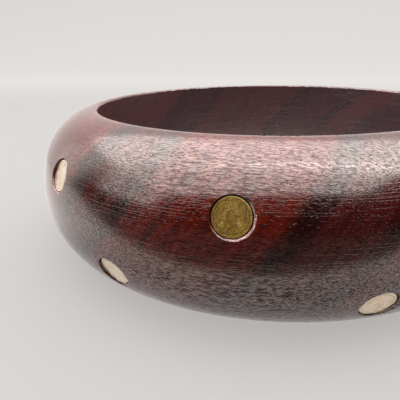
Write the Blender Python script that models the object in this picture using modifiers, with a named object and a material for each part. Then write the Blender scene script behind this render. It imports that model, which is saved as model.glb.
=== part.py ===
"""A bangle turned from one piece of hardwood, with flat brass discs let into its crown in a zigzag.

Metres, +Z along the axis of the ring, the lower rim on z = 0, the front of the bangle towards -Y.
"""
import math

import bmesh
import bpy
from mathutils import Matrix, Vector

# Ring
BORE_DIAMETER = 0.0650
WALL_AT_MIDDLE = 0.0102
RING_HEIGHT = 0.0250
RIM_LAND_WIDTH = 0.0010
BORE_EDGE_RADIUS = 0.00025
CROWN_CENTRE_INSET = 0.00077
CROWN_EXPONENT = 2.105

# Discs, the adhesive under them and the pockets that hold both
DISC_COUNT = 16
DISC_DIAMETER = 0.0048
DISC_THICKNESS = 0.0012
DISC_EDGE_BEVEL = 0.00012
FACE_RECESS = 0.00043
GLUE_THICKNESS = 0.0003
SEAT_GAP = 0.0003
POCKET_SIDE_CLEARANCE = 0.00015
MOUTH_EASE = 0.00015
CUTTER_OVERSHOOT = 0.0003

# Places of the discs round the crown
FIRST_DISC_DEGREES = -4.2
UPPER_ROW_RISE = 0.0053
LOWER_ROW_DROP = 0.0064

# Hand marking: how far a disc strays from its even place, in degrees round and metres up
HAND_DRIFT = {
    0: (-1.0, -0.00012),
    1: (1.3, -0.00030),
    14: (2.6, 0.00010),
    15: (-2.8, 0.00030),
}

# Colours, linear red, green and blue
WOOD_COLOUR = (0.105, 0.028, 0.020)
BRASS_COLOUR = (0.520, 0.400, 0.150)
ADHESIVE_COLOUR = (0.640, 0.520, 0.330)

# Fineness of the round shapes
RING_STEPS = 96
CROWN_STEPS = 20
EDGE_STEPS = 3
DISC_SIDES = 24
SURFACE_SEARCH_STEPS = 40
SMOOTH_ANGLE = math.radians(25)
RIM_ANGLE = math.radians(60)
MERGE_DISTANCE = 0.000001

# Sizes that follow from the ones above
BORE_RADIUS = BORE_DIAMETER / 2
MIDDLE = RING_HEIGHT / 2
CROWN_CENTRE = BORE_RADIUS - CROWN_CENTRE_INSET
CROWN_REACH = BORE_RADIUS + WALL_AT_MIDDLE - CROWN_CENTRE
LAND_EDGE = BORE_RADIUS + RIM_LAND_WIDTH
LAND_SHARE = (LAND_EDGE - CROWN_CENTRE) / CROWN_REACH
CROWN_RISE = MIDDLE / (1 - LAND_SHARE ** CROWN_EXPONENT) ** (1 / CROWN_EXPONENT)
DISC_RADIUS = DISC_DIAMETER / 2
POCKET_RADIUS = DISC_RADIUS + POCKET_SIDE_CLEARANCE
GLUE_TOP_DEPTH = FACE_RECESS + DISC_THICKNESS + SEAT_GAP
POCKET_DEPTH = GLUE_TOP_DEPTH + GLUE_THICKNESS + SEAT_GAP


def clear_scene():
    """Remove every object that the scene starts with."""
    for existing in list(bpy.data.objects):
        bpy.data.objects.remove(existing, do_unlink=True)


def new_collection(name):
    """Make an empty collection in the scene."""
    collection = bpy.data.collections.new(name)
    bpy.context.scene.collection.children.link(collection)
    return collection


def new_material(name, colour, roughness, metallic):
    """Make a plain material of one colour."""
    material = bpy.data.materials.new(name)
    material.use_nodes = True
    shader = material.node_tree.nodes["Principled BSDF"]
    shader.inputs["Base Color"].default_value = (*colour, 1.0)
    shader.inputs["Roughness"].default_value = roughness
    shader.inputs["Metallic"].default_value = metallic
    return material


def new_object(name, mesh, collection):
    """Put a mesh into a collection as a named object."""
    piece = bpy.data.objects.new(name, mesh)
    collection.objects.link(piece)
    return piece


def shade_round(mesh):
    """Shade the round faces smooth and keep the crisp edges."""
    mesh.shade_smooth()
    mesh.set_sharp_from_angle(angle=SMOOTH_ANGLE)


def crown_points():
    """Points (radius, height) down the crown, from the upper rim to the lower rim."""
    power = 2 / CROWN_EXPONENT
    start = math.asin((MIDDLE / CROWN_RISE) ** (1 / power))
    points = []
    for step in range(CROWN_STEPS + 1):
        angle = start - 2 * start * step / CROWN_STEPS
        rise = math.copysign(abs(math.sin(angle)) ** power, math.sin(angle))
        radius = CROWN_CENTRE + CROWN_REACH * math.cos(angle) ** power
        points.append((radius, MIDDLE + CROWN_RISE * rise))
    return points


def bore_edge_points(first_degrees, last_degrees, height):
    """Points (radius, height) round the eased edge between the bore and a rim."""
    centre = BORE_RADIUS + BORE_EDGE_RADIUS
    points = []
    for step in range(EDGE_STEPS + 1):
        degrees = first_degrees + (last_degrees - first_degrees) * step / EDGE_STEPS
        angle = math.radians(degrees)
        radius = centre + BORE_EDGE_RADIUS * math.cos(angle)
        points.append((radius, height + BORE_EDGE_RADIUS * math.sin(angle)))
    return points


def make_ring(collection, cutters, material):
    """Turn the ring from its section and drill the pockets into it."""
    section = crown_points()
    section += bore_edge_points(270, 180, BORE_EDGE_RADIUS)
    section += bore_edge_points(180, 90, RING_HEIGHT - BORE_EDGE_RADIUS)
    outline = bmesh.new()
    corners = [outline.verts.new((radius, 0, height)) for radius, height in section]
    for corner, following in zip(corners, corners[1:] + corners[:1]):
        outline.edges.new((corner, following))
    profile = bpy.data.meshes.new("wooden_ring")
    outline.to_mesh(profile)
    outline.free()
    ring = new_object("wooden_ring", profile, collection)
    turn = ring.modifiers.new("turn", "SCREW")
    turn.axis = "Z"
    turn.steps = RING_STEPS
    turn.render_steps = RING_STEPS
    turn.use_merge_vertices = True
    turn.merge_threshold = MERGE_DISTANCE
    drill = ring.modifiers.new("drill_pockets", "BOOLEAN")
    drill.operation = "DIFFERENCE"
    drill.solver = "EXACT"
    drill.operand_type = "COLLECTION"
    drill.collection = cutters
    finished = ring.evaluated_get(bpy.context.evaluated_depsgraph_get())
    ring.data = bpy.data.meshes.new_from_object(finished)
    ring.modifiers.clear()
    ring.data.materials.clear()
    ring.data.materials.append(material)
    shade_round(ring.data)


def crown_radius(height):
    """Outer radius of the crown at a height."""
    share = abs(height - MIDDLE) / CROWN_RISE
    return CROWN_CENTRE + CROWN_REACH * (1 - share ** CROWN_EXPONENT) ** (1 / CROWN_EXPONENT)


def is_inside_crown(point):
    """Say whether a point lies below the surface of the crown."""
    outward = max(math.hypot(point.x, point.y) - CROWN_CENTRE, 0) / CROWN_REACH
    upward = abs(point.z - MIDDLE) / CROWN_RISE
    return outward ** CROWN_EXPONENT + upward ** CROWN_EXPONENT < 1


def disc_frame(index):
    """Frame on the crown over a disc: X along the ring, Y up the crown and Z square out of the wood."""
    drift_degrees, drift_up = HAND_DRIFT.get(index, (0, 0))
    around = math.radians(FIRST_DISC_DEGREES + 360 * index / DISC_COUNT + drift_degrees)
    row = UPPER_ROW_RISE if index % 2 == 0 else -LOWER_ROW_DROP
    height = MIDDLE + row + drift_up
    radius = crown_radius(height)
    away = Vector((math.sin(around), -math.cos(around), 0))
    along = Vector((math.cos(around), math.sin(around), 0))
    lean = ((radius - CROWN_CENTRE) / CROWN_REACH) ** (CROWN_EXPONENT - 1) / CROWN_REACH
    climb = (abs(height - MIDDLE) / CROWN_RISE) ** (CROWN_EXPONENT - 1) / CROWN_RISE
    square = away * lean + Vector((0, 0, math.copysign(climb, height - MIDDLE)))
    square.normalize()
    upward = square.cross(along)
    turn = Matrix((along, upward, square)).transposed().to_4x4()
    return Matrix.Translation(away * radius + Vector((0, 0, height))) @ turn


def crown_level(frame, across, up):
    """Height of the crown over a disc's frame, at a place beside its axis."""
    low = -POCKET_DEPTH
    high = POCKET_DEPTH
    for _ in range(SURFACE_SEARCH_STEPS):
        level = (low + high) / 2
        if is_inside_crown(frame @ Vector((across, up, level))):
            low = level
        else:
            high = level
    return (low + high) / 2


def make_pocket_cutter(index, collection):
    """Loft one pocket: flat floor, straight wall and an eased mouth that follows the curved crown."""
    frame = disc_frame(index)
    flare = MOUTH_EASE + CUTTER_OVERSHOOT
    flare_radius = POCKET_RADIUS + flare
    shape = bmesh.new()
    rings = [[], [], [], []]
    for side in range(DISC_SIDES):
        angle = 2 * math.pi * side / DISC_SIDES
        across = math.cos(angle)
        up = math.sin(angle)
        mouth = crown_level(frame, POCKET_RADIUS * across, POCKET_RADIUS * up) - MOUTH_EASE
        levels = (-POCKET_DEPTH, mouth, mouth + flare, POCKET_DEPTH)
        radii = (POCKET_RADIUS, POCKET_RADIUS, flare_radius, flare_radius)
        for ring, radius, level in zip(rings, radii, levels):
            ring.append(shape.verts.new((radius * across, radius * up, level)))
    for lower, upper in zip(rings, rings[1:]):
        for side in range(DISC_SIDES):
            beside = (side + 1) % DISC_SIDES
            shape.faces.new((lower[side], lower[beside], upper[beside], upper[side]))
    shape.faces.new(reversed(rings[0]))
    shape.faces.new(rings[-1])
    mesh = bpy.data.meshes.new("pocket_cutter")
    shape.to_mesh(mesh)
    shape.free()
    cutter = new_object(f"pocket_cutter_{index + 1:02d}", mesh, collection)
    cutter.matrix_world = frame
    cutter.hide_render = True
    cutter.display_type = "WIRE"


def round_blank(name, radius, top_depth, thickness, bevel, material):
    """Mesh of a flat round blank whose top lies at a depth below the crown."""
    shape = bmesh.new()
    middle = Matrix.Translation((0, 0, -top_depth - thickness / 2))
    bmesh.ops.create_cone(
        shape,
        cap_ends=True,
        segments=DISC_SIDES,
        radius1=radius,
        radius2=radius,
        depth=thickness,
        matrix=middle,
    )
    if bevel:
        rims = [edge for edge in shape.edges if edge.calc_face_angle() > RIM_ANGLE]
        bmesh.ops.bevel(shape, geom=rims, offset=bevel, segments=1, affect="EDGES")
    mesh = bpy.data.meshes.new(name)
    shape.to_mesh(mesh)
    shape.free()
    mesh.materials.append(material)
    shade_round(mesh)
    return mesh


def main():
    """Build the bangle."""
    clear_scene()
    bangle = new_collection("bangle")
    cutters = new_collection("bangle_cutters")
    wood = new_material("dark_red_hardwood", WOOD_COLOUR, roughness=0.40, metallic=0.0)
    brass = new_material("aged_brass", BRASS_COLOUR, roughness=0.34, metallic=1.0)
    adhesive = new_material("cured_adhesive", ADHESIVE_COLOUR, roughness=0.30, metallic=0.0)
    disc_mesh = round_blank("brass_disc", DISC_RADIUS, FACE_RECESS, DISC_THICKNESS, DISC_EDGE_BEVEL, brass)
    glue_mesh = round_blank("glue_bed", DISC_RADIUS, GLUE_TOP_DEPTH, GLUE_THICKNESS, None, adhesive)
    for index in range(DISC_COUNT):
        make_pocket_cutter(index, cutters)
        disc = new_object(f"brass_disc_{index + 1:02d}", disc_mesh, bangle)
        disc.matrix_world = disc_frame(index)
        glue = new_object(f"glue_bed_{index + 1:02d}", glue_mesh, bangle)
        glue.matrix_world = disc_frame(index)
    make_ring(bangle, cutters, wood)


main()
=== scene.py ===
# %% [markdown]
# # A turned hardwood bangle with brass discs
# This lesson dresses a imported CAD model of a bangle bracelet: one ring of dark red hardwood turned on a
# lathe, with sixteen flat brass discs let into its rounded crown in a zigzag. The CAD solids hold the
# true sizes. Here the ring and the discs are remade with finer meshes in the same places, and every
# surface gets its finish. All lengths are metres, +Z runs up the axis of the ring and the front of the
# bangle looks towards -Y.

# %% Load the frame
import math
import random

import bmesh
import bpy
import numpy as np
from mathutils import Matrix, Vector


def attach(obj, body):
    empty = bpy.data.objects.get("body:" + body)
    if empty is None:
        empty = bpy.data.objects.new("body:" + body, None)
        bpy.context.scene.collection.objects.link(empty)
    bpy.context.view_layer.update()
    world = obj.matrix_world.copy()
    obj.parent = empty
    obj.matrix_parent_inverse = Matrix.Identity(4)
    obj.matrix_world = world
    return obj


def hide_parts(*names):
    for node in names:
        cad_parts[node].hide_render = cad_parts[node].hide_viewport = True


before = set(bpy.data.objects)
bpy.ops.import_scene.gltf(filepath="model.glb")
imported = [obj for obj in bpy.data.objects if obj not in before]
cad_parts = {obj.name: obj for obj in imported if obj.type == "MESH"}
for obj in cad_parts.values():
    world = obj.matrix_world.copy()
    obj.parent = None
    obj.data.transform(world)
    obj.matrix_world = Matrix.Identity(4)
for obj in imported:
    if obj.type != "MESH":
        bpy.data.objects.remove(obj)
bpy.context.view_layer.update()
MM = 0.001

# %% [markdown]
# ## Measuring the ring
# A finer copy is only right if it takes its sizes from the part that it covers. The bore, the outer
# diameter and the height could be typed in again, but then a change in the CAD would leave the copy
# behind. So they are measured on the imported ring: its nearest and farthest points from the axis, and its
# box.

# %% Measure the ring
def node_points(name):
    """Corner points of a CAD node."""
    return np.array([corner.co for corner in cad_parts[name].data.vertices])


ring_points = node_points("wooden_ring")
ring_reach = np.hypot(ring_points[:, 0], ring_points[:, 1])
BORE_RADIUS = float(ring_reach.min())
OUTER_RADIUS = float(ring_reach.max())
RING_HEIGHT = float(ring_points[:, 2].max())
MIDDLE = RING_HEIGHT / 2
ring_sizes = {"bore": 2 * BORE_RADIUS, "outside": 2 * OUTER_RADIUS, "height": RING_HEIGHT}
print("ring in mm:", {label: round(size / MM, 2) for label, size in ring_sizes.items()})

# %% [markdown]
# ## Measuring the discs
# Each brass disc lies square to the crown, so no two of them face the same way. A flat disc has one short
# direction, its axis. The principal directions of its corner points find that axis without any angle
# being typed in. The top of the disc, its radius and its thickness follow from the same points.

# %% Measure the discs
POINT_DIGITS = 7


def disc_seat(name):
    """Frame at the middle of a disc's face: X along the ring, Y up the crown, Z out of the wood."""
    points = np.unique(node_points(name).round(POINT_DIGITS), axis=0)
    centre = (points.max(axis=0) + points.min(axis=0)) / 2
    directions = np.linalg.svd(points - points.mean(axis=0))[2]
    square = Vector(directions[2])
    if square.dot(Vector((centre[0], centre[1], 0))) < 0:
        square.negate()
    along = Vector((0, 0, 1)).cross(square).normalized()
    upward = square.cross(along)
    turn = Matrix((along, upward, square)).transposed().to_4x4()
    seat = Matrix.Translation(centre) @ turn
    local = np.array([seat.inverted() @ Vector(point) for point in points])
    lift = Matrix.Translation((0, 0, float(local[:, 2].max())))
    return seat @ lift, float(np.hypot(local[:, 0], local[:, 1]).max()), float(np.ptp(local[:, 2]))


DISC_NODES = sorted(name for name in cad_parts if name.startswith("brass_disc"))
GLUE_NODES = sorted(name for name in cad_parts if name.startswith("glue_bed"))
measured = [disc_seat(name) for name in DISC_NODES]
SEATS = [seat for seat, _, _ in measured]
DISC_RADIUS = measured[0][1]
DISC_THICKNESS = measured[0][2]
print(f"{len(SEATS)} discs, {2 * DISC_RADIUS / MM:.2f} mm across and {DISC_THICKNESS / MM:.2f} mm thick")

# %% [markdown]
# ## The camera
# The photograph was taken close to the bangle, so the near side looms and the far rim is small. A camera
# was fitted to the ellipse of the bore's rim and to the outline. Its place, its three turns and its lens
# are written here as plain values, and the camera's axes are built from them one after the other.

# %% Place the camera
CAMERA_PLACE = Vector((0, -85.96 * MM, 35.81 * MM))
CAMERA_PAN = -0.1611
CAMERA_TILT = 0.3473
CAMERA_ROLL = -0.0174
CAMERA_LENS = 39.08
SENSOR_WIDTH = 36.0


def camera_axes():
    """Right, up and back directions of the camera, turned by pan, then tilt, then roll."""
    ahead = Vector((math.sin(CAMERA_PAN), math.cos(CAMERA_PAN), -math.tan(CAMERA_TILT))).normalized()
    level = Vector((math.cos(CAMERA_PAN), -math.sin(CAMERA_PAN), 0))
    upright = level.cross(ahead)
    right = math.cos(CAMERA_ROLL) * level + math.sin(CAMERA_ROLL) * upright
    up = math.cos(CAMERA_ROLL) * upright - math.sin(CAMERA_ROLL) * level
    return right, up, -ahead


def add_object(name, data):
    """A new object, linked to the scene."""
    made = bpy.data.objects.new(name, data)
    bpy.context.scene.collection.objects.link(made)
    return made


camera_data = bpy.data.cameras.new("camera")
camera_data.lens = CAMERA_LENS
camera_data.sensor_width = SENSOR_WIDTH
camera_data.clip_start = MM
camera = add_object("camera", camera_data)
camera.matrix_world = Matrix.Translation(CAMERA_PLACE) @ Matrix(camera_axes()).transposed().to_4x4()
bpy.context.scene.camera = camera
print(f"camera {CAMERA_PLACE.length / MM:.0f} mm from the origin, lens {CAMERA_LENS} mm")

# %% [markdown]
# ## The section of the ring
# On the lathe the maker draws one section and the spinning wood does the rest. The crown is a little
# squarer than an ellipse, which a superellipse gives with one exponent. A narrow flat land lies at each
# rim, and the edge of the bore is only just broken. A spline drawn by eye would do too, but a formula
# keeps both halves alike.

# %% Draw the section
CROWN_EXPONENT = 2.105
CROWN_INSET = 0.77 * MM
CROWN_CENTRE = BORE_RADIUS - CROWN_INSET
CROWN_REACH = OUTER_RADIUS - CROWN_CENTRE
LAND_WIDTH = 1.0 * MM
LAND_SHARE = (BORE_RADIUS + LAND_WIDTH - CROWN_CENTRE) / CROWN_REACH
CROWN_RISE = MIDDLE / (1 - LAND_SHARE ** CROWN_EXPONENT) ** (1 / CROWN_EXPONENT)
BORE_EDGE = 0.25 * MM
CROWN_STEPS = 64
EDGE_STEPS = 5
BORE_STEPS = 8


def crown_section():
    """Points (radius, height) down the crown from the upper land to the lower one."""
    power = 2 / CROWN_EXPONENT
    start = math.asin((MIDDLE / CROWN_RISE) ** (1 / power))
    points = []
    for angle in np.linspace(start, -start, CROWN_STEPS + 1):
        rise = math.copysign(abs(math.sin(angle)) ** power, angle)
        points.append((CROWN_CENTRE + CROWN_REACH * math.cos(angle) ** power, MIDDLE + CROWN_RISE * rise))
    return points


def bore_edge(first, last, height):
    """Points (radius, height) round a broken edge of the bore, between two angles in degrees."""
    turns = np.radians(np.linspace(first, last, EDGE_STEPS + 1))
    middle = BORE_RADIUS + BORE_EDGE
    return [(middle + BORE_EDGE * math.cos(turn), height + BORE_EDGE * math.sin(turn)) for turn in turns]


def ring_section():
    """The whole closed section: crown, lower edge, bore, upper edge."""
    lower = bore_edge(270, 180, BORE_EDGE)
    upper = bore_edge(180, 90, RING_HEIGHT - BORE_EDGE)
    levels = np.linspace(2 * BORE_EDGE, RING_HEIGHT - 2 * BORE_EDGE, BORE_STEPS + 1)
    bore = [(BORE_RADIUS, level) for level in levels]
    return crown_section() + lower + bore + upper


RING_SECTION = ring_section()
crown_size = f"{CROWN_REACH / MM:.2f} mm by {CROWN_RISE / MM:.2f} mm"
print(f"ring section: {len(RING_SECTION)} points, crown {crown_size}")

# %% [markdown]
# ## A lathe made of nodes
# A ring and a disc are both turned work, so one small node group does for both. A Grid is laid out flat,
# one row for each step of the turn and one column for each point of the section. Set Position then
# carries every grid point to its section point, swung round the axis, Merge by Distance closes the seam
# and the poles, and Flip Faces makes every face look outwards. The Screw modifier could turn a section
# too, but a group can be used again inside other trees.

# %% Helpers for node trees
def fill(tree, sockets, values):
    """Give named sockets their values or links."""
    for name, value in values.items():
        if isinstance(value, bpy.types.NodeSocket):
            tree.links.new(value, sockets[name])
        else:
            sockets[name].default_value = value


def add_node(tree, kind, inputs=None, **settings):
    """Add a node, set its properties and fill its sockets with values or links."""
    made = tree.nodes.new(kind)
    for name, value in settings.items():
        setattr(made, name, value)
    fill(tree, made.inputs, inputs or {})
    return made


def maths(tree, operation, first, second=0.0, third=0.0):
    """A Math node's result."""
    made = add_node(tree, "ShaderNodeMath", {0: first, 1: second, 2: third}, operation=operation)
    return made.outputs[0]


def times(tree, first, *factors):
    """The product of several values."""
    for factor in factors:
        first = maths(tree, "MULTIPLY", first, factor)
    return first


def weighted(tree, value, weight, start):
    """A value times its weight, added to a start."""
    return maths(tree, "MULTIPLY_ADD", value, weight, start)


def split(tree, vector):
    """The X, Y and Z parts of a vector."""
    return add_node(tree, "ShaderNodeSeparateXYZ", {0: vector}).outputs


def axis_distance(tree, parts):
    """Distance from the Z axis."""
    squared = times(tree, parts["Y"], parts["Y"])
    squared = weighted(tree, parts["X"], parts["X"], squared)
    return maths(tree, "SQRT", squared)


print("node helpers: fill, add_node, maths, times, weighted, split, axis_distance")

# %% The lathe group
SEAM_GAP = 0.001 * MM


def new_tree(name, sockets):
    """An empty geometry tree with named inputs and their socket types."""
    tree = bpy.data.node_groups.new(name, "GeometryNodeTree")
    for label, kind in sockets.items():
        tree.interface.new_socket(label, in_out="INPUT", socket_type="NodeSocket" + kind)
    tree.interface.new_socket("Geometry", in_out="OUTPUT", socket_type="NodeSocketGeometry")
    return tree, tree.nodes.new("NodeGroupInput").outputs, tree.nodes.new("NodeGroupOutput").inputs


def lathe_group():
    """Node group that turns a section, held as the points of a mesh, round the Z axis."""
    sockets = {"Section": "Geometry", "Section Points": "Int", "Steps": "Int"}
    tree, given, result = new_tree("lathe", sockets)
    points = given["Section Points"]
    rows = maths(tree, "ADD", given["Steps"], 1)
    grid = add_node(tree, "GeometryNodeMeshGrid", {"Vertices X": rows, "Vertices Y": points})
    index = tree.nodes.new("GeometryNodeInputIndex").outputs[0]
    row = maths(tree, "FLOOR", maths(tree, "DIVIDE", index, points))
    column = maths(tree, "SUBTRACT", index, times(tree, row, points))
    swing = times(tree, maths(tree, "DIVIDE", row, given["Steps"]), 2 * math.pi)
    position = tree.nodes.new("GeometryNodeInputPosition").outputs[0]
    wanted = {"Geometry": given["Section"], "Value": position, "Index": column}
    sample = add_node(tree, "GeometryNodeSampleIndex", wanted, data_type="FLOAT_VECTOR")
    drawn = split(tree, sample.outputs[0])
    across = times(tree, drawn["X"], maths(tree, "COSINE", swing))
    deep = times(tree, drawn["X"], maths(tree, "SINE", swing))
    swung = add_node(tree, "ShaderNodeCombineXYZ", {"X": across, "Y": deep, "Z": drawn["Z"]}).outputs[0]
    placed = add_node(tree, "GeometryNodeSetPosition", {"Geometry": grid.outputs[0], "Position": swung})
    closed = add_node(
        tree, "GeometryNodeMergeByDistance", {"Geometry": placed.outputs[0], "Distance": SEAM_GAP}
    )
    outward = add_node(tree, "GeometryNodeFlipFaces", {0: closed.outputs[0]})
    tree.links.new(outward.outputs[0], result[0])
    return tree


LATHE = lathe_group()
print(f"lathe group with {len(LATHE.nodes)} nodes")

# %% [markdown]
# ## Pockets that follow the crown
# Every pocket is drilled square to the wood, but its mouth lies on a surface that falls away in two
# directions, so the edge of the mouth is a saddle-shaped line. A plain cylinder with a countersink would
# break that edge unevenly. The cutters are lofted instead: round the axis of each disc the height of the
# crown is searched for, and the rounded lip starts a little below that height all the way round. The lip
# is wide on the side where sanding has worn it away and narrow on the other, and the pocket has a little
# play, so the dark gap round a disc isn't the same all round.

# %% Find the crown over a disc
SEARCH_REACH = 2 * MM
SEARCH_STEPS = 36


def inside_crown(point):
    """Whether a point lies below the surface of the crown."""
    outward = max(math.hypot(point.x, point.y) - CROWN_CENTRE, 0) / CROWN_REACH
    upward = abs(point.z - MIDDLE) / CROWN_RISE
    return outward ** CROWN_EXPONENT + upward ** CROWN_EXPONENT < 1


def crown_level(seat, across, up):
    """Height of the crown over a disc's face, at a place beside the disc's axis."""
    low, high = -SEARCH_REACH, SEARCH_REACH
    for _ in range(SEARCH_STEPS):
        level = (low + high) / 2
        if inside_crown(seat @ Vector((across, up, level))):
            low = level
        else:
            high = level
    return (low + high) / 2


FACE_RECESS = crown_level(SEATS[0], 0, 0)
print(f"front disc lies {FACE_RECESS / MM:.2f} mm below the crown")

# %% Width of the lips
LIP_WIDTH = 0.32 * MM
LIP_LEAST = 0.07 * MM
LIP_UNEVEN = 0.07 * MM
LIP_LEAN = 0.32 * MM
LEAN_ANGLE = math.radians(-38)
LIP_WAVES = (2, 3, 5, 9, 14)
LIP_WAVE_SIZES = (0.3, 1.0)
LIP_WAVE_GAIN = 1.6


def lip_width(draw):
    """A function of the angle round a mouth that gives the lip's width there."""
    waves = []
    for count in LIP_WAVES:
        waves.append((count, draw.uniform(0, 2 * math.pi), draw.uniform(*LIP_WAVE_SIZES)))
    total = sum(size for _, _, size in waves)

    def width(angle):
        swell = sum(size * math.sin(count * angle + phase) for count, phase, size in waves) / total
        leaning = LIP_WIDTH + LIP_LEAN * math.cos(angle - LEAN_ANGLE)
        return max(leaning + LIP_UNEVEN * LIP_WAVE_GAIN * swell, LIP_LEAST)

    return width


print(f"lips {LIP_WIDTH / MM:.2f} mm wide, give or take {LIP_LEAN / MM:.2f} mm")

# %% Loft the pocket cutters
POCKET_CLEARANCE = 0.08 * MM
POCKET_RADIUS = DISC_RADIUS + POCKET_CLEARANCE
BELOW_DISC = 0.9 * MM
POCKET_FLOOR = DISC_THICKNESS + BELOW_DISC
POCKET_PLAY = 0.05 * MM
PLAY_ANGLE = math.radians(105)
LIP_ANGLES = (0, 20, 40, 58, 72)
POCKET_SIDES = 72
LIP_SEED = 7
CUTTER_FLARE = 3
CUTTER_CLIMB = 0.75
CUTTER_TOP = 2 * MM


def pocket_rings(seat, draw):
    """Rings of points from the floor of a pocket to above its mouth, in the disc's frame."""
    width = lip_width(draw)
    side_play = POCKET_PLAY * math.cos(PLAY_ANGLE)
    up_play = POCKET_PLAY * math.sin(PLAY_ANGLE)
    rings = [[] for _ in range(len(LIP_ANGLES) + 3)]
    for side in range(POCKET_SIDES):
        angle = 2 * math.pi * side / POCKET_SIDES
        across, up = math.cos(angle), math.sin(angle)
        mouth = crown_level(seat, POCKET_RADIUS * across + side_play, POCKET_RADIUS * up + up_play)
        lip = width(angle)
        steps = [(POCKET_RADIUS, -POCKET_FLOOR)]
        for degrees in LIP_ANGLES:
            turn = math.radians(degrees)
            steps.append((POCKET_RADIUS + lip * (1 - math.cos(turn)), mouth - lip * (1 - math.sin(turn))))
        flare = POCKET_RADIUS + CUTTER_FLARE * lip
        steps.append((flare, steps[-1][1] + CUTTER_CLIMB * lip))
        steps.append((flare, CUTTER_TOP))
        for ring, (radius, level) in zip(rings, steps):
            ring.append((radius * across + side_play, radius * up + up_play, level))
    return rings


def loft(rings, name, collection, place):
    """A closed mesh through rings of points."""
    shape = bmesh.new()
    loops = [[shape.verts.new(point) for point in ring] for ring in rings]
    for lower, upper in zip(loops, loops[1:]):
        for side, beside in enumerate((*range(1, len(lower)), 0)):
            shape.faces.new((lower[side], lower[beside], upper[beside], upper[side]))
    shape.faces.new(reversed(loops[0]))
    shape.faces.new(loops[-1])
    mesh = bpy.data.meshes.new(name)
    shape.transform(place)
    shape.to_mesh(mesh)
    shape.free()
    collection.objects.link(bpy.data.objects.new(name, mesh))


cutters = bpy.data.collections.new("pocket_cutters")
lip_draw = random.Random(LIP_SEED)
for number, seat in enumerate(SEATS):
    loft(pocket_rings(seat, lip_draw), f"pocket_{number + 1:02d}", cutters, seat)

# %% [markdown]
# ## Turning and drilling the ring
# The tree for the ring reads like the workshop: take the section, turn it on the lathe, nick the edges of
# the bore as years of wear do, drill the pockets, finish the surface. The nicks could be cut one by one,
# but a noise that pushes the edge inwards gives many of them, all different. The cutters come in as a
# collection, so a Mesh Boolean takes all of them away at once. The result is then made a plain mesh.

# %% Nick the edges of the bore
# A noise is written as its scale, detail and roughness
NICK_NOISE = (900.0, 3.0, 0.5)
NICK_RANGE = (0.45, 0.70)


def noise(tree, place, scale, detail, roughness):
    """Value of a noise field."""
    field = {"Vector": place, "Scale": scale, "Detail": detail, "Roughness": roughness}
    return add_node(tree, "ShaderNodeTexNoise", field).outputs[0]


def nicked(tree, turned, nick_depth):
    """The turned ring with small nicks worn into both edges of the bore."""
    place = tree.nodes.new("GeometryNodeInputPosition").outputs[0]
    parts = split(tree, place)
    inner = maths(tree, "LESS_THAN", axis_distance(tree, parts), BORE_RADIUS + BORE_EDGE)
    level = maths(tree, "ABSOLUTE", maths(tree, "SUBTRACT", parts["Z"], MIDDLE))
    outer = maths(tree, "GREATER_THAN", level, MIDDLE - BORE_EDGE)
    chips = noise(tree, place, *NICK_NOISE)
    limits = {"Value": chips, "From Min": NICK_RANGE[0], "From Max": NICK_RANGE[1]}
    bite = add_node(tree, "ShaderNodeMapRange", limits)
    depth = times(tree, bite.outputs[0], times(tree, nick_depth, -1.0))
    normal = tree.nodes.new("GeometryNodeInputNormal").outputs[0]
    push = add_node(tree, "ShaderNodeVectorMath", {0: normal, "Scale": depth}, operation="SCALE")
    edges = times(tree, inner, outer)
    moves = {"Geometry": turned, "Selection": edges, "Offset": push.outputs[0]}
    return add_node(tree, "GeometryNodeSetPosition", moves).outputs[0]


print(f"nicks within {BORE_EDGE / MM} mm of the edges of the bore")

# %% Tree of the ring
def turned_section(tree, section, given):
    """A section turned on the lathe, with the points and steps that a tree is given."""
    values = {"Section": section, "Section Points": given["Section Points"], "Steps": given["Turn Steps"]}
    return add_node(tree, "GeometryNodeGroup", values, node_tree=LATHE).outputs[0]


def hand_out(tree, geometry, finish, result):
    """Make a geometry real, give it its finish and pass it out of the tree."""
    whole = add_node(tree, "GeometryNodeRealizeInstances", {0: geometry}).outputs[0]
    finished = add_node(tree, "GeometryNodeSetMaterial", {"Geometry": whole, "Material": finish})
    tree.links.new(finished.outputs[0], result[0])


def ring_tree():
    """Geometry tree that turns the ring, nicks its edges and drills its pockets."""
    sockets = {"Section": "Geometry", "Section Points": "Int", "Turn Steps": "Int"}
    sockets |= {"Nick Depth": "Float", "Pockets": "Collection", "Finish": "Material"}
    tree, given, result = new_tree("turn_and_drill", sockets)
    turned = turned_section(tree, given["Section"], given)
    pockets = add_node(tree, "GeometryNodeCollectionInfo", {"Collection": given["Pockets"]})
    tools = add_node(tree, "GeometryNodeRealizeInstances", {0: pockets.outputs[0]})
    worn_and_lit = nicked(tree, turned, given["Nick Depth"])
    drilled = add_node(
        tree, "GeometryNodeMeshBoolean", {"Mesh 1": worn_and_lit}, operation="DIFFERENCE", solver="EXACT"
    )
    tree.links.new(tools.outputs[0], drilled.inputs["Mesh 2"])
    hand_out(tree, drilled.outputs[0], given["Finish"], result)
    return tree


RING_TREE = ring_tree()
print(f"ring tree with {len(RING_TREE.nodes)} nodes")

# %% Turn and drill the ring
TURN_STEPS = 640
NICK_DEPTH = 0.12 * MM
RING_SHARP_DEGREES = 32
CM3_PER_M3 = 1e6


def section_object(name, section):
    """A mesh of points that carries a section to a node tree."""
    mesh = bpy.data.meshes.new(name)
    mesh.from_pydata([(radius, 0, height) for radius, height in section], [], [])
    return add_object(name, mesh)


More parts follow.
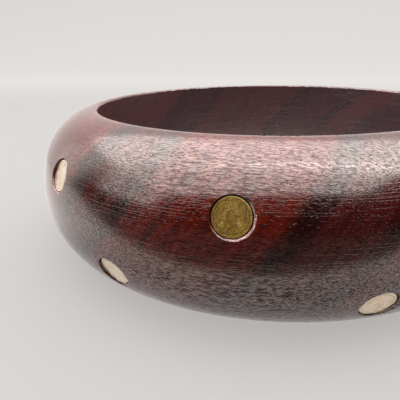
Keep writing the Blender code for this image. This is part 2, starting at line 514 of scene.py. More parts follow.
def run_tree(carrier, tree, values, name):
    """Give an object a geometry tree, set its named inputs and return the result as a plain mesh object."""
    modifier = carrier.modifiers.new(tree.name, "NODES")
    modifier.node_group = tree
    for item in tree.interface.items_tree:
        if item.in_out == "INPUT" and item.name in values:
            modifier[item.identifier] = values[item.name]
    carrier.update_tag()
    evaluated = carrier.evaluated_get(bpy.context.evaluated_depsgraph_get())
    mesh = bpy.data.meshes.new_from_object(evaluated)
    mesh.name = name
    bpy.data.objects.remove(carrier)
    return add_object(name, mesh)


def shade_round(piece, degrees):
    """Shade a piece smooth, apart from edges sharper than an angle."""
    piece.data.shade_smooth()
    piece.data.set_sharp_from_angle(angle=math.radians(degrees))


wood = bpy.data.materials.new("oiled_red_hardwood")
closed_section = RING_SECTION + RING_SECTION[:1]
settings = {"Section Points": len(closed_section), "Turn Steps": TURN_STEPS, "Nick Depth": NICK_DEPTH}
settings |= {"Pockets": cutters, "Finish": wood}
ring = run_tree(section_object("ring_section", closed_section), RING_TREE, settings, "turned_ring")
shade_round(ring, RING_SHARP_DEGREES)
ring_shape = bmesh.new()
ring_shape.from_mesh(ring.data)
ring_volume = ring_shape.calc_volume(signed=True)
open_edges = sum(1 for edge in ring_shape.edges if len(edge.link_faces) != 2)
ring_shape.free()
ring_cm3 = ring_volume * CM3_PER_M3
print(f"turned ring: {len(ring.data.polygons)} faces, {ring_cm3:.2f} cm3, {open_edges} open edges")

# %% [markdown]
# ## The wood
# The wood is dark red heartwood with near-black streaks that lean across the front. Paint by numbers
# would show a seam where the picture ends, so the wood is a solid texture: every point of the block has
# its colour, and the lathe only uncovers it. The streaks are stops of one colour ramp that runs in a
# slanting direction. A slow noise makes them wander, a quick one frays their edges, and a third draws
# thin dark lines along them.

# %% Helpers for materials
def open_nodes(material):
    """Node tree of a material and the inputs of its shader."""
    material.use_nodes = True
    tree = material.node_tree
    return tree, tree.nodes["Principled BSDF"].inputs


def blend(tree, share, first, second):
    """Mix two colours by a share."""
    made = add_node(tree, "ShaderNodeMix", {0: share, 6: first, 7: second}, data_type="RGBA")
    return made.outputs[2]


def stretch(tree, value, low, high, new_low=0.0, new_high=1.0):
    """Map a range smoothly to another."""
    limits = {"Value": value, "From Min": low, "From Max": high, "To Min": new_low, "To Max": new_high}
    return add_node(tree, "ShaderNodeMapRange", limits, interpolation_type="SMOOTHSTEP").outputs[0]


def patches(tree, place, field):
    """Share of the patches in which a noise passes from one limit to the other."""
    kind, limits = field
    return stretch(tree, noise(tree, place, *kind), *limits)


def scaled(tree, place, factors):
    """A place multiplied by a factor along each axis."""
    return add_node(tree, "ShaderNodeVectorMath", {0: place, 1: factors}, operation="MULTIPLY").outputs[0]


def combined(tree, *values):
    """A vector made of two or three numbers."""
    return add_node(tree, "ShaderNodeCombineXYZ", dict(enumerate(values))).outputs[0]


def added_up(tree, start, *pairs):
    """A start value with weighted values added to it."""
    for value, weight in pairs:
        start = weighted(tree, value, weight, start)
    return start


print("material helpers: open_nodes, blend, stretch, patches, scaled, combined, added_up")

# %% Streaks of the heartwood
STREAK_DIRECTION = Vector((0.783, 0.0, -0.622))
STREAK_SPAN = 90.0
STREAKS_MM = (-37.5, -22.4, -16.8, 0.4, 9.5, 16.0, 26.5, 36.0)
STREAK_HALF_WIDTHS_MM = (1.2, 1.3, 0.8, 1.4, 0.9, 1.6, 1.3, 1.9)
STREAK_STOPS = (-1.7, -0.5, 0.5, 1.2)
STREAK_DARK = (0.022, 0.0030, 0.0032, 1)
HEART_RED = (0.150, 0.0120, 0.0045, 1)
HEART_BROWN = (0.082, 0.0100, 0.0090, 1)
# A field is a noise and the limits of its patches
WANDER_NOISE = (0.05, 2.0, 0.5)
WANDER_MM = 4.0
FRAY_NOISE = (0.6, 4.0, 0.6)
FRAY_MM = 3.4
LINES_PER_MM = (1.1, 0.12, 0.10)
LINE_FIELD = ((1.0, 4.0, 0.65), (0.48, 0.64))
LINE_SHARE = 0.60


def fill_streak_ramp(ramp):
    """Set the stops of a ramp across the streaks: dark in each streak, red or brown between them."""
    stops = []
    for number, (place, half) in enumerate(zip(STREAKS_MM, STREAK_HALF_WIDTHS_MM)):
        before, after = (HEART_RED, HEART_BROWN) if number % 2 else (HEART_BROWN, HEART_RED)
        colours = (before, STREAK_DARK, STREAK_DARK, after)
        stops += [(place + stop * half, colour) for stop, colour in zip(STREAK_STOPS, colours)]
    while len(ramp.elements) < len(stops):
        ramp.elements.new(0.5)
    ordered = sorted(stops, key=lambda stop: stop[0])
    for element, (place, colour) in zip(ramp.elements, ordered):
        element.position = place / STREAK_SPAN + 0.5
        element.color = colour


def streak_colour(tree, place, parts):
    """Colour of the heartwood, with its streaks and the thin dark lines along them."""
    lean = add_node(tree, "ShaderNodeVectorMath", {0: place, 1: STREAK_DIRECTION}, operation="DOT_PRODUCT")
    centred = maths(tree, "ADD", lean.outputs["Value"], -STREAK_DIRECTION.z * MIDDLE / MM)
    wander = weighted(tree, noise(tree, place, *WANDER_NOISE), WANDER_MM, -WANDER_MM / 2)
    streak_place = maths(tree, "ADD", centred, wander)
    fray = weighted(tree, noise(tree, place, *FRAY_NOISE), FRAY_MM, -FRAY_MM / 2)
    across = maths(tree, "ADD", streak_place, fray)
    ramp = add_node(tree, "ShaderNodeValToRGB")
    fill_streak_ramp(ramp.color_ramp)
    tree.links.new(weighted(tree, across, 1 / STREAK_SPAN, 0.5), ramp.inputs[0])
    lines_place = scaled(tree, combined(tree, streak_place, parts["Y"], parts["X"]), LINES_PER_MM)
    lines = patches(tree, lines_place, LINE_FIELD)
    return blend(tree, times(tree, lines, LINE_SHARE), ramp.outputs[0], STREAK_DARK)


print(f"{len(STREAKS_MM)} dark streaks in {STREAK_SPAN:.0f} mm of wood")

# %% [markdown]
# ## Pores, dashes and fibres
# Open pores, short dark dashes and finer fibres lie along the grain, so they show as strokes on the front
# and as dots where the fibre comes to the surface. They could be drawn one by one, but a field that is
# stretched along the fibre gives thousands of them, in the whole block.

# %% Grain of the wood
FIBRE_TURN = math.radians(-8)
PORES_PER_MM = (0.9, 3.6, 3.6)
DASHES_PER_MM = (0.42, 5.8, 5.8)
FIBRES_PER_MM = (1.50, 6.0, 6.0)
PORE_RANGE = (0.24, 0.12)
DASH_FIELD = ((1.0, 2.0, 0.6), (0.50, 0.62))
FIBRE_FIELD = ((1.0, 3.0, 0.65), (0.45, 0.60))
PORE_DARK = (0.006, 0.0014, 0.0014, 1)
PORE_SHARE = 0.90
DASH_SHARE = 0.60
FIBRE_SHARE = 0.55


def grain(tree, place):
    """Shares of pores, dashes and fibres, each stretched along the fibre."""
    turned = add_node(tree, "ShaderNodeMapping", {"Vector": place, "Rotation": (0, 0, -FIBRE_TURN)})
    along = turned.outputs[0]
    packed = scaled(tree, along, PORES_PER_MM)
    cells = add_node(tree, "ShaderNodeTexVoronoi", {"Vector": packed, "Scale": 1.0})
    pores = stretch(tree, cells.outputs["Distance"], *PORE_RANGE)
    dashes = patches(tree, scaled(tree, along, DASHES_PER_MM), DASH_FIELD)
    fibres = patches(tree, scaled(tree, along, FIBRES_PER_MM), FIBRE_FIELD)
    return pores, dashes, fibres


def grained(tree, colour, pores, dashes, fibres):
    """A colour darkened by the grain, the finest marks first."""
    marks = (
        (fibres, FIBRE_SHARE, STREAK_DARK),
        (dashes, DASH_SHARE, PORE_DARK),
        (pores, PORE_SHARE, PORE_DARK),
    )
    for mark, share, dark in marks:
        colour = blend(tree, times(tree, mark, share), colour, dark)
    return colour


print(f"fibre turned {math.degrees(FIBRE_TURN):.0f} degrees from the X axis")

# %% [markdown]
# ## Worn lips with a painted highlight, and the bore
# Rubbing has bared pale wood on one side of each pocket's lip, in chipped patches. That pale colour is also a
# painted highlight: it lies on the side of the lip that faces up, where light catches the rounded edge. A
# mask could be painted on the mesh, but the lip can also be found by its depth: the crown has a formula, so
# every point knows how far it lies below the turned surface. The wall of the bore gets a painted grey sheen:
# its colour is mixed halfway towards a greyer tone, which also mutes the streaks there.

# %% Depth below the crown
def off_middle(tree, parts):
    """Distance in mm from the plane halfway up the ring."""
    return maths(tree, "ABSOLUTE", maths(tree, "SUBTRACT", parts["Z"], MIDDLE / MM))


def crown_depth(tree, parts):
    """Depth in mm below the turned crown, which is nought on the crown itself."""
    outward = maths(tree, "SUBTRACT", axis_distance(tree, parts), CROWN_CENTRE / MM)
    outward = maths(tree, "DIVIDE", maths(tree, "MAXIMUM", outward, 0.0), CROWN_REACH / MM)
    upward = maths(tree, "DIVIDE", off_middle(tree, parts), CROWN_RISE / MM)
    powers = [maths(tree, "POWER", part, CROWN_EXPONENT) for part in (outward, upward)]
    share = maths(tree, "POWER", maths(tree, "ADD", *powers), 1 / CROWN_EXPONENT)
    return weighted(tree, share, -CROWN_REACH / MM, CROWN_REACH / MM)


print(f"crown reaches {CROWN_REACH / MM:.2f} mm from its centre line")

# %% Worn lips with a painted highlight, and the bore's painted sheen
# Pale bare wood that is also a painted highlight on the up-facing side of each lip
PALE_WEAR_AND_HIGHLIGHT = (0.66, 0.450, 0.400, 1)
WORN_AND_LIT_DEPTH_MM = (0.34, 0.238)
CROWN_MARGIN_MM = (0.006, 0.014)
CHIP_NOISE = (2.6, 4.0, 0.75)
CHIP_DEPTH_MM = 0.80
CHIP_RANGE = (-0.385, -0.345)
RIM_FADE = (10.8, 11.8, 1.0, 0.15)
BARE_FIELD = ((5.0, 3.0, 0.7), (0.36, 0.56, 0.15, 1.0))
LIT_SIDE_CLIMB = 0.65
WORN_AND_LIT_SIDE_RANGE = (0.25, 0.65)
# A greyer tone mixed into the wall of the bore as a painted sheen
BORE_PAINTED_SHEEN = (0.105, 0.0720, 0.0810, 1)
BORE_SHEEN_SHARE = 0.5
BORE_MARGIN_MM = (0.25, 0.10)


def worn_and_lit_side(tree, parts):
    """One on the up-facing side of a pocket's lip, rubbed most and painted as lit; nought on the other side.
    """
    facing = add_node(tree, "ShaderNodeNewGeometry").outputs["Normal"]
    around = combined(tree, times(tree, parts["Y"], -1.0), parts["X"])
    around = add_node(tree, "ShaderNodeVectorMath", {0: around}, operation="NORMALIZE").outputs[0]
    sideways = add_node(tree, "ShaderNodeVectorMath", {0: facing, 1: around}, operation="DOT_PRODUCT")
    upward = split(tree, facing)["Z"]
    climb = times(tree, upward, LIT_SIDE_CLIMB)
    return stretch(tree, maths(tree, "SUBTRACT", climb, sideways.outputs["Value"]), *WORN_AND_LIT_SIDE_RANGE)


def worn_and_lit_lips(tree, place, parts, chips):
    """Share of bare pale wood and painted highlight on the lips of the pockets."""
    depth = crown_depth(tree, parts)
    cut = weighted(tree, chips, -CHIP_DEPTH_MM, depth)
    return times(
        tree,
        stretch(tree, cut, *CHIP_RANGE),
        stretch(tree, depth, *WORN_AND_LIT_DEPTH_MM),
        stretch(tree, depth, *CROWN_MARGIN_MM),
        stretch(tree, off_middle(tree, parts), *RIM_FADE),
        patches(tree, place, BARE_FIELD),
        worn_and_lit_side(tree, parts),
    )


def bore_painted_sheen(tree, colour, parts):
    """A colour mixed towards a painted grey sheen on the wall of the bore."""
    limits = [BORE_RADIUS / MM + margin for margin in BORE_MARGIN_MM]
    wall = stretch(tree, axis_distance(tree, parts), *limits)
    return blend(tree, times(tree, wall, BORE_SHEEN_SHARE), colour, BORE_PAINTED_SHEEN)


print(f"lips worn down to {WORN_AND_LIT_DEPTH_MM[0]} mm below the crown")

# %% [markdown]
# ## Gloss and relief of the wood
# The oiled wood shines, and its open grain breaks up the shine: pores, dashes and fibres are shallow
# grooves that reflect little. Rubbing has filled them a little on the upper half, and low down they are
# open. Sparse sanding grooves run round the crown. Grooves this fine could be cut into the mesh only with
# millions of faces, so a Bump node tips the shading instead.

# %% Gloss and relief of the wood
SANDING_PER_MM = 5.5
SANDING_RUN_PER_MM = 0.08
SANDING_FIELD = ((1.0, 3.0, 0.6), (0.54, 0.66))
RELIEF = 0.018 * MM
PORE_GROOVE = -0.7
DASH_GROOVE = -0.28
FIBRE_GROOVE = -0.08
SANDING_GROOVE = -0.36
FLAKE_RISE = 6.0
DASH_HOLE = 0.68
FIBRE_HOLE = 0.62
FILLED_ABOVE_MM = 12.0
OPEN_BELOW_MM = 8.5
OPEN_GAIN = 1.5
HOLE_LOSS = 0.9


def wood_relief(tree, parts, pores, dashes, fibres, flakes):
    """Normal tipped by the grooves of grain and sanding and by the flakes on worn lips."""
    reach = times(tree, axis_distance(tree, parts), SANDING_PER_MM)
    height = times(tree, parts["Z"], SANDING_PER_MM)
    rings_place = combined(tree, reach, height, times(tree, parts["X"], SANDING_RUN_PER_MM))
    level = added_up(
        tree,
        0.0,
        (pores, PORE_GROOVE),
        (dashes, DASH_GROOVE),
        (fibres, FIBRE_GROOVE),
        (patches(tree, rings_place, SANDING_FIELD), SANDING_GROOVE),
        (flakes, FLAKE_RISE),
    )
    return add_node(tree, "ShaderNodeBump", {"Strength": 1.0, "Distance": RELIEF, "Height": level}).outputs[0]


def wood_gloss(tree, parts, pores, dashes, fibres):
    """Specular level: full on closed wood, low in pores, dashes and fibres."""
    holes = times(tree, dashes, DASH_HOLE)
    holes = maths(tree, "MAXIMUM", holes, times(tree, fibres, FIBRE_HOLE))
    opening = stretch(tree, parts["Z"], FILLED_ABOVE_MM, OPEN_BELOW_MM, 1.0, OPEN_GAIN)
    holes = maths(tree, "MAXIMUM", pores, times(tree, holes, opening))
    return weighted(tree, holes, -HOLE_LOSS, 1.0)


print(f"relief of the wood {RELIEF / MM:.3f} mm")

# %% Build the wood
SATIN_NOISE = (0.8, 3.0, 0.5)
SATIN_SPREAD = 0.06
SATIN_LEAST = 0.10
DASH_SATIN = 0.04
WORN_AND_LIT_SATIN = 0.25
PORE_SATIN = 0.30
WOOD_IOR = 1.78
WOOD_GLOSS_TINT = (1.0, 0.88, 0.835, 1)


def build_wood(material):
    """Join the wood's colour, relief and gloss, and return the number of nodes."""
    tree, shader = open_nodes(material)
    here = add_node(tree, "ShaderNodeTexCoord").outputs["Object"]
    place = scaled(tree, here, [1 / MM] * 3)
    parts = split(tree, place)
    pores, dashes, fibres = grain(tree, place)
    chips = noise(tree, place, *CHIP_NOISE)
    worn_and_lit = worn_and_lit_lips(tree, place, parts, chips)
    colour = grained(tree, streak_colour(tree, place, parts), pores, dashes, fibres)
    # Pale bare wood, also a painted highlight, on the up-facing side of each lip
    colour = blend(tree, worn_and_lit, bore_painted_sheen(tree, colour, parts), PALE_WEAR_AND_HIGHLIGHT)
    tree.links.new(colour, shader["Base Color"])
    flakes = times(tree, worn_and_lit, chips)
    tree.links.new(wood_relief(tree, parts, pores, dashes, fibres, flakes), shader["Normal"])
    satin = weighted(tree, noise(tree, place, *SATIN_NOISE), SATIN_SPREAD, SATIN_LEAST)
    satin = added_up(tree, satin, (dashes, DASH_SATIN), (worn_and_lit, WORN_AND_LIT_SATIN), (pores, PORE_SATIN))
    tree.links.new(satin, shader["Roughness"])
    tree.links.new(wood_gloss(tree, parts, pores, dashes, fibres), shader["Specular IOR Level"])
    shader["Specular Tint"].default_value = WOOD_GLOSS_TINT
    shader["IOR"].default_value = WOOD_IOR
    return len(tree.nodes)


print(f"wood built from {build_wood(wood)} nodes")

# %% [markdown]
# ## The brass discs
# The discs are small turned blanks: a flat face with faint rings from the tool, a rounded edge and a
# straight side. One blank is turned on the node lathe and instanced at the sixteen seats. Each copy gets
# its own spin and its own tone, with a fixed seed, so that scratches and tarnish don't repeat. The place
# on the blank is stored as an attribute before the copies are made, and the brass reads it to draw its
# rings about the middle of each disc.

# %% Section of a disc
DISC_EDGE = 0.12 * MM
FACE_RINGS = 14
TOOL_RING_DEPTH = 0.004 * MM
EDGE_START_DEGREES = 72
DISC_EDGE_POINTS = 5


def disc_section():
    """Points (radius, height) from the middle of the face, over the edge, to the middle of the back."""
    flat = DISC_RADIUS - DISC_EDGE
    points = []
    for step in range(2 * FACE_RINGS + 1):
        points.append((flat * step / (2 * FACE_RINGS), -TOOL_RING_DEPTH * (step % 2)))
    for turn in np.radians(np.linspace(EDGE_START_DEGREES, 0, DISC_EDGE_POINTS)):
        points.append((flat + DISC_EDGE * math.cos(turn), DISC_EDGE * (math.sin(turn) - 1)))
    for turn in np.radians(np.linspace(0, 90, DISC_EDGE_POINTS)):
        back = DISC_EDGE * (1 - math.sin(turn)) - DISC_THICKNESS
        points.append((flat + DISC_EDGE * math.cos(turn), back))
    points.append((0, -DISC_THICKNESS))
    return points


DISC_SECTION = disc_section()
print(f"disc section: {len(DISC_SECTION)} points")

# %% Tree of the discs
def disc_tree():
    """Geometry tree that turns one blank and sets a copy at every seat."""
    sockets = {"Seats": "Geometry", "Blank Section": "Object", "Section Points": "Int"}
    sockets |= {"Turn Steps": "Int", "Seed": "Int", "Finish": "Material"}
    tree, given, result = new_tree("set_discs", sockets)
    blank = add_node(tree, "GeometryNodeObjectInfo", {"Object": given["Blank Section"]})
    turned = turned_section(tree, blank.outputs["Geometry"], given)
    spot = tree.nodes.new("GeometryNodeInputPosition").outputs[0]
    marked = add_node(
        tree,
        "GeometryNodeStoreNamedAttribute",
        {"Geometry": turned, "Name": "disc_place", "Value": spot},
        data_type="FLOAT_VECTOR",
        domain="POINT",
    )
    facing = add_node(tree, "GeometryNodeInputNamedAttribute", {"Name": "facing"}, data_type="FLOAT_VECTOR")
    aim = add_node(tree, "FunctionNodeAlignRotationToVector", {"Vector": facing.outputs[0]}, axis="Z")
    spin = add_node(tree, "FunctionNodeRandomValue", {"Min": 0.0, "Max": 2 * math.pi}, data_type="FLOAT")
    spun = add_node(tree, "FunctionNodeAxisAngleToRotation", {"Axis": (0, 0, 1)})
    turned_aim = add_node(
        tree, "FunctionNodeRotateRotation", {"Rotation": aim.outputs[0]}, rotation_space="LOCAL"
    )
    tree.links.new(given["Seed"], spin.inputs["Seed"])
    tree.links.new(spin.outputs["Value"], spun.inputs["Angle"])
    tree.links.new(spun.outputs[0], turned_aim.inputs["Rotate By"])
    copies = add_node(
        tree,
        "GeometryNodeInstanceOnPoints",
        {"Points": given["Seats"], "Instance": marked.outputs[0], "Rotation": turned_aim.outputs[0]},
    )
    tone = add_node(tree, "FunctionNodeRandomValue", {"Min": 0.0, "Max": 1.0}, data_type="FLOAT")
    tree.links.new(maths(tree, "ADD", given["Seed"], 1), tone.inputs["Seed"])
    toned = add_node(
        tree,
        "GeometryNodeStoreNamedAttribute",
        {"Geometry": copies.outputs[0], "Name": "disc_tone", "Value": tone.outputs["Value"]},
        data_type="FLOAT",
        domain="INSTANCE",
    )
    hand_out(tree, toned.outputs[0], given["Finish"], result)
    return tree


DISC_TREE = disc_tree()
print(f"disc tree with {len(DISC_TREE.nodes)} nodes")

# %% Set the discs
DISC_STEPS = 96
DISC_SEED = 11
DISC_SHARP_DEGREES = 40
# The front disc is tarnished; the three side discs get low numbers, which paint a pale reflection into them
SEEN_TARNISH_AND_SHEEN = {0: 1.0, 1: 0.25, 14: 0.15, 15: 0.15}
TARNISH_AND_SHEEN_RANGE = (0.15, 1.0)


def seat_points():
    """Points at the seats, the way they face and how tarnished each disc is; less gives a painted pale
    reflection.
    """
    mesh = bpy.data.meshes.new("disc_seats")
    mesh.from_pydata([seat.translation for seat in SEATS], [], [])
    facing = mesh.attributes.new("facing", "FLOAT_VECTOR", "POINT")
    for item, seat in zip(facing.data, SEATS):
        item.vector = seat.col[2].to_3d()
    tarnish_and_sheen = mesh.attributes.new("tarnish_and_sheen", "FLOAT", "POINT")
    draw = random.Random(DISC_SEED)
    for number, item in enumerate(tarnish_and_sheen.data):
        item.value = SEEN_TARNISH_AND_SHEEN.get(number, draw.uniform(*TARNISH_AND_SHEEN_RANGE))
    return add_object("disc_seats", mesh)


brass = bpy.data.materials.new("aged_brass")
blank_section = section_object("blank_section", DISC_SECTION)
settings = {"Blank Section": blank_section, "Section Points": len(DISC_SECTION), "Turn Steps": DISC_STEPS}
settings |= {"Seed": DISC_SEED, "Finish": brass}
discs = run_tree(seat_points(), DISC_TREE, settings, "brass_discs")
bpy.data.objects.remove(blank_section)
shade_round(discs, DISC_SHARP_DEGREES)
print(f"brass discs: {len(discs.data.polygons)} faces")

# %% [markdown]
# ## The brass
# The face of a disc that has lived in a pocket is not mirror bright. It has fine rings from turning, a
# haze of scratches in all directions, olive tarnish in patches and a brighter rim where sanding reached
# it. How far the tarnish has gone differs from disc to disc, so every seat carries it as a number. A low
# number also makes the plain brass pale and greyish, a painted reflection of the pale floor, and the three
# discs seen from the side get low numbers. A painted picture of each face would do this too, but would have
# to be painted sixteen times. A clear coat stands for the oil that was rubbed over wood and brass alike.

# %% Tarnish and painted sheen of the brass
BRASS_BRIGHT = (0.60, 0.36, 0.085, 1)
# Pale greyish brass: a painted reflection of the pale floor on the less tarnished discs
BRASS_PALE_SHEEN = (0.79, 0.64, 0.48, 1)
BRASS_OLIVE = (0.43, 0.255, 0.043, 1)
BRASS_GREY = (0.40, 0.26, 0.12, 1)
BRASS_DARK = (0.11, 0.065, 0.011, 1)
BRASS_SPECK = (0.85, 0.70, 0.40, 1)
GREY_FIELD = ((0.9, 4.0, 0.65), (0.52, 0.66))
GREY_SHARE = 0.6
VEIN_NOISE = (1.1, 4.0, 0.7)
VEIN_RANGE = (0.05, 0.01)
SPECK_FIELD = ((4.0, 2.0, 0.6), (0.66, 0.72))
DARK_SHARE = 0.6
RIM_SHARE = 0.8
DISC_MM = DISC_RADIUS / MM
RIM_RANGE_MM = (DISC_MM - 0.30, DISC_MM - 0.12)


def brass_colour(tree, shifted, reach, tarnish_and_sheen, olive, spots, ring_mark):
    """Colour of a face: plain metal, pale with a painted reflection on less tarnished discs, patches and a
    bright rim.
    """
    contour = maths(tree, "ADD", noise(tree, shifted, *VEIN_NOISE), -0.5)
    veins = stretch(tree, maths(tree, "ABSOLUTE", contour), *VEIN_RANGE)
    marks = maths(tree, "MAXIMUM", spots, veins)
    grey = patches(tree, shifted, GREY_FIELD)
    rim = stretch(tree, reach, *RIM_RANGE_MM)
    # The less tarnished a disc, the more its plain colour is a pale painted reflection
    clean_and_sheen = blend(tree, tarnish_and_sheen, BRASS_PALE_SHEEN, BRASS_BRIGHT)
    layers = (
        (times(tree, olive, tarnish_and_sheen), BRASS_OLIVE),
        (times(tree, grey, GREY_SHARE), BRASS_GREY),
        (times(tree, marks, DARK_SHARE, tarnish_and_sheen), BRASS_DARK),
        (patches(tree, shifted, SPECK_FIELD), BRASS_SPECK),
        (times(tree, ring_mark, DARK_SHARE), BRASS_DARK),
        (times(tree, rim, RIM_SHARE), clean_and_sheen),
    )
    colour = clean_and_sheen
    for share, layer in layers:
        colour = blend(tree, share, colour, layer)
    return colour


print(f"bright rim from {RIM_RANGE_MM[0]:.2f} mm off the middle of a disc")

# %% Relief of the brass
TOOL_RINGS_PER_MM = 9.0
TOOL_NOISE = (1.0, 3.0, 0.7)
RING_GROOVE = -1.5
SCRATCHES_PER_MM = (1.2, 30.0, 1.0)
SCRATCH_TURNS = {0.4: 3.0, 1.5: 17.0, 2.5: 31.0}
SCRATCH_FIELD = ((1.0, 1.0, 0.5), (0.60, 0.70))
SCRATCH_GROOVE = -0.8
BRASS_RELIEF = 0.008 * MM


def brass_relief(tree, shifted, reach, tone, spots, ring_mark):
    """Normal tipped by tool rings, by scratches laid in three directions and by pitted spots."""
    tool_place = combined(tree, times(tree, reach, TOOL_RINGS_PER_MM), tone)
    level = weighted(tree, ring_mark, RING_GROOVE, noise(tree, tool_place, *TOOL_NOISE))
    for turn, offset in SCRATCH_TURNS.items():
        move = {"Location": (offset, offset, 0), "Rotation": (0, 0, turn), "Scale": SCRATCHES_PER_MM}
        laid = add_node(tree, "ShaderNodeMapping", {"Vector": shifted, **move})
        scratches = patches(tree, laid.outputs[0], SCRATCH_FIELD)
        level = weighted(tree, scratches, SCRATCH_GROOVE, level)
    level = weighted(tree, spots, SCRATCH_GROOVE, level)
    bump = add_node(tree, "ShaderNodeBump", {"Strength": 1.0, "Distance": BRASS_RELIEF, "Height": level})
    return bump.outputs[0]


print(f"scratches in {len(SCRATCH_TURNS)} directions")

# %% Build the brass
DISC_APART_MM = 40.0
OLIVE_FIELD = ((0.55, 5.0, 0.7), (0.40, 0.60))
SPOT_FIELD = ((2.4, 3.0, 0.7), (0.52, 0.64))
WAVE_NOISE = (0.7, 2.0, 0.5)
WAVE_MM = 0.5
RING_INSET_MM = 0.15
RING_HALF_WIDTH_MM = 0.09
BRASS_ROUGHNESS = 0.42
OLIVE_ROUGHNESS = 0.12
COAT = {"Metallic": 1.0, "Coat Weight": 1.0, "Coat Roughness": 0.22, "Coat IOR": 1.8}


def build_brass(material):
    """Join the brass's colour, relief and coat, and return the number of nodes."""
    tree, shader = open_nodes(material)
    spot = add_node(tree, "ShaderNodeAttribute", attribute_name="disc_place").outputs["Vector"]
    tone = add_node(tree, "ShaderNodeAttribute", attribute_name="disc_tone").outputs["Fac"]
    tarnish_and_sheen = add_node(tree, "ShaderNodeAttribute", attribute_name="tarnish_and_sheen").outputs["Fac"]
    place = scaled(tree, spot, [1 / MM] * 3)
    apart = times(tree, tone, DISC_APART_MM)
    shifted = add_node(tree, "ShaderNodeVectorMath", {0: place, 1: apart}, operation="ADD").outputs[0]
    reach = axis_distance(tree, split(tree, place))
    olive = patches(tree, shifted, OLIVE_FIELD)
    spots = patches(tree, shifted, SPOT_FIELD)
    wavy = weighted(tree, noise(tree, shifted, *WAVE_NOISE), WAVE_MM, reach)
    off_ring = maths(tree, "SUBTRACT", wavy, DISC_MM - RING_INSET_MM)
    ring_mark = stretch(tree, maths(tree, "ABSOLUTE", off_ring), RING_HALF_WIDTH_MM, 0.0)
    colour = brass_colour(tree, shifted, reach, tarnish_and_sheen, olive, spots, ring_mark)
    tree.links.new(colour, shader["Base Color"])
    tree.links.new(brass_relief(tree, shifted, reach, tone, spots, ring_mark), shader["Normal"])
    roughness = weighted(tree, olive, OLIVE_ROUGHNESS, BRASS_ROUGHNESS)
    tree.links.new(roughness, shader["Roughness"])
    fill(tree, shader, COAT)
    return len(tree.nodes)


print(f"brass built from {build_brass(brass)} nodes")

# %% [markdown]
# ## The adhesive
# Under every disc lies a thin bed of cured adhesive. It only shows as a hint of amber in the gap, so the
# CAD solids stay and get a finish with a slight cloudiness and tiny bubbles.

# %% Build the adhesive
AMBER_DEEP = (0.42, 0.27, 0.11, 1)
AMBER_PALE = (0.66, 0.50, 0.28, 1)
CLOUD_NOISE = (900.0, 3.0, 0.5)
BUBBLES_PER_M = 2600.0
BUBBLE_RELIEF = {"Strength": 0.4, "Distance": 0.02 * MM}
GLUE_ROUGHNESS = 0.15
CLOUD_ROUGHNESS = 0.2


def build_adhesive():
    """A cloudy amber material for the glue beds."""
    material = bpy.data.materials.new("amber_adhesive")
    tree, shader = open_nodes(material)
    here = add_node(tree, "ShaderNodeTexCoord").outputs["Object"]
    cloud = noise(tree, here, *CLOUD_NOISE)
    cells = add_node(tree, "ShaderNodeTexVoronoi", {"Vector": here, "Scale": BUBBLES_PER_M})
    tree.links.new(blend(tree, cloud, AMBER_DEEP, AMBER_PALE), shader["Base Color"])
    roughness = weighted(tree, cloud, CLOUD_ROUGHNESS, GLUE_ROUGHNESS)
    tree.links.new(roughness, shader["Roughness"])
    bump = add_node(tree, "ShaderNodeBump", {**BUBBLE_RELIEF, "Height": cells.outputs["Distance"]})
    tree.links.new(bump.outputs[0], shader["Normal"])
    return material


adhesive = build_adhesive()
for name in GLUE_NODES:
    glue_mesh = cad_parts[name].data
    glue_mesh.materials.clear()
    glue_mesh.materials.append(adhesive)
print(f"{len(GLUE_NODES)} glue beds finished")

# %% [markdown]
# ## Floor and backdrop
# The bangle stands on a plain pale floor that sweeps up behind it. Polished wood also mirrors the floor.
# More lamps would brighten the floor and the wood together, so Light Path gives the floor a glow that
# only the camera and the reflections see. In the reflections and in light bounced off the floor, it turns
# dark a little in front of the bangle, so the grey sheen stays on the lower half, and in the reflections it
# is brighter at the left.

# %% Finish of the floor
FLOOR_BACK = 0.40
FLOOR_COLOUR = (0.090, 0.088, 0.086, 1)
FLOOR_ROUGHNESS = 0.9
# Dark floor colour that reflections and bounced light see in front of this edge; the camera sees it pale
DARK_FRONT_COLOUR = (0.012, 0.011, 0.010, 1)
DARK_FRONT_EDGE = -0.060
PALE_EDGE = -0.055
DARK_FRONT_LEAN = 0.12
FLOOR_GLOW = (0.45, 0.435, 0.425, 1)
WALL_GLOW = 1.35
RISE_START = 0.15
MIRRORED_GLOW = 1.5
LEFT_GLOW = 0.9
LEFT_RANGE = (-0.035, -0.060)
LEFT_DEPTH = (0.09, 0.04)


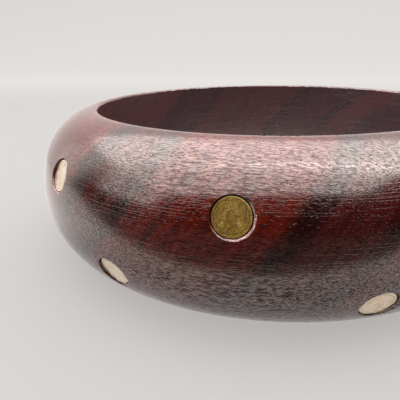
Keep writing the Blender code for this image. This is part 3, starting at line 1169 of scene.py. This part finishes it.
def build_floor_finish():
    """A pale material that glows for the camera and in reflections, and keeps the bangle's shadow."""
    material = bpy.data.materials.new("pale_backdrop")
    tree, shader = open_nodes(material)
    here = add_node(tree, "ShaderNodeTexCoord").outputs["Object"]
    parts = split(tree, here)
    ray = add_node(tree, "ShaderNodeLightPath").outputs
    inward = weighted(tree, parts["X"], DARK_FRONT_LEAN, parts["Y"])
    near = maths(tree, "MAXIMUM", stretch(tree, inward, DARK_FRONT_EDGE, PALE_EDGE), ray["Is Camera Ray"])
    tree.links.new(blend(tree, near, DARK_FRONT_COLOUR, FLOOR_COLOUR), shader["Base Color"])
    shader["Roughness"].default_value = FLOOR_ROUGHNESS
    beside = stretch(tree, parts["X"], *LEFT_RANGE)
    beside = times(tree, beside, stretch(tree, parts["Y"], *LEFT_DEPTH))
    mirrored = weighted(tree, beside, LEFT_GLOW, MIRRORED_GLOW)
    seen = weighted(tree, ray["Is Glossy Ray"], mirrored, ray["Is Camera Ray"])
    seen = maths(tree, "ADD", seen, ray["Is Transmission Ray"])
    rise = stretch(tree, parts["Y"], RISE_START, FLOOR_BACK, 1.0, WALL_GLOW)
    shader["Emission Color"].default_value = FLOOR_GLOW
    tree.links.new(times(tree, near, seen, rise), shader["Emission Strength"])
    return material


pale_floor = build_floor_finish()
print(f"floor finish of {len(pale_floor.node_tree.nodes)} nodes")

# %% Build the floor and the backdrop
FLOOR_FRONT = -0.60
FLOOR_HALF_WIDTH = 0.90
SWEEP_RADIUS = 0.15
SWEEP_STEPS = 16
WALL_TOP = 0.80


def backdrop_outline():
    """Points (y, z) of the floor, the sweep and the wall behind."""
    points = [(FLOOR_FRONT, 0.0)]
    for turn in np.radians(np.linspace(-90, 0, SWEEP_STEPS + 1)):
        points.append((FLOOR_BACK + SWEEP_RADIUS * math.cos(turn), SWEEP_RADIUS * (1 + math.sin(turn))))
    points.append((FLOOR_BACK + SWEEP_RADIUS, WALL_TOP))
    return points


def build_backdrop():
    """The pale floor and wall as one swept sheet."""
    outline = backdrop_outline()
    corners = [(side * FLOOR_HALF_WIDTH, y, z) for y, z in outline for side in (-1, 1)]
    faces = [(2 * row, 2 * row + 1, 2 * row + 3, 2 * row + 2) for row in range(len(outline) - 1)]
    mesh = bpy.data.meshes.new("backdrop")
    mesh.from_pydata(corners, [], faces)
    mesh.shade_smooth()
    mesh.materials.append(pale_floor)
    sheet = add_object("backdrop", mesh)
    return sheet


backdrop = build_backdrop()
print(f"backdrop of {len(backdrop.data.polygons)} faces")

# %% [markdown]
# ## Light
# Two soft panels overhead, one beside the other, draw one wide highlight along the crown, and a window
# lights the left side. A picture of a room could light the bangle too, but three panels are easier to
# place. The room is pale behind the bangle and dim behind the camera, which keeps the front of the crown
# deep and red.

# %% Light the scene
# Each lamp: place, tip and swing in degrees, size, power
LAMPS = {
    "back_panel": ((-0.02, 0.16, 0.42), (0, 0), (1.10, 0.50), 4.5),
    "front_strip": ((-0.06, -0.25, 0.415), (0, 10), (0.88, 0.38), 2.7),
    "side_window": ((-0.78, -0.35, 0.42), (64, -66), (0.54, 0.44), 1.25),
}
ROOM_DIM = (0.004, 0.004, 0.004, 1)
ROOM_PALE = (1.50, 1.48, 1.44, 1)
ROOM_SEEN = (0.73, 0.715, 0.70, 1)
CEILING_SHARE = 0.5
BACK_RANGE = (0.05, 0.45)


def build_lamps():
    """Soft panels, each tipped up from facing down and then turned about the vertical."""
    for name, (place, (tip, swing), size, power) in LAMPS.items():
        lamp_data = bpy.data.lights.new(name, "AREA")
        lamp_data.shape = "RECTANGLE"
        lamp_data.size, lamp_data.size_y = size
        lamp_data.energy = power
        lamp = add_object(name, lamp_data)
        lamp.location = place
        lamp.rotation_euler = (math.radians(tip), 0, math.radians(swing))


def build_room():
    """A room that is pale behind the bangle and dim in front of it."""
    world = bpy.data.worlds.new("room")
    world.use_nodes = True
    tree = world.node_tree
    towards = add_node(tree, "ShaderNodeTexCoord").outputs["Generated"]
    parts = split(tree, towards)
    towards_back = weighted(tree, parts["Z"], CEILING_SHARE, parts["Y"])
    tint = blend(tree, stretch(tree, towards_back, *BACK_RANGE), ROOM_DIM, ROOM_PALE)
    ray = add_node(tree, "ShaderNodeLightPath").outputs
    shown = blend(tree, ray["Is Camera Ray"], tint, ROOM_SEEN)
    tree.links.new(shown, tree.nodes["Background"].inputs["Color"])
    bpy.context.scene.world = world
    bpy.context.scene.view_settings.view_transform = "Standard"


build_lamps()
build_room()
print(f"{len(LAMPS)} lamps: {', '.join(LAMPS)}")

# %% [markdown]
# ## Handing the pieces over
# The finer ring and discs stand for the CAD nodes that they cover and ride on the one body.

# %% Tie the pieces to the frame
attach(ring, "root")
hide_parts("wooden_ring")
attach(discs, "root")
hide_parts(*DISC_NODES)
print("ring and discs ride on the root")
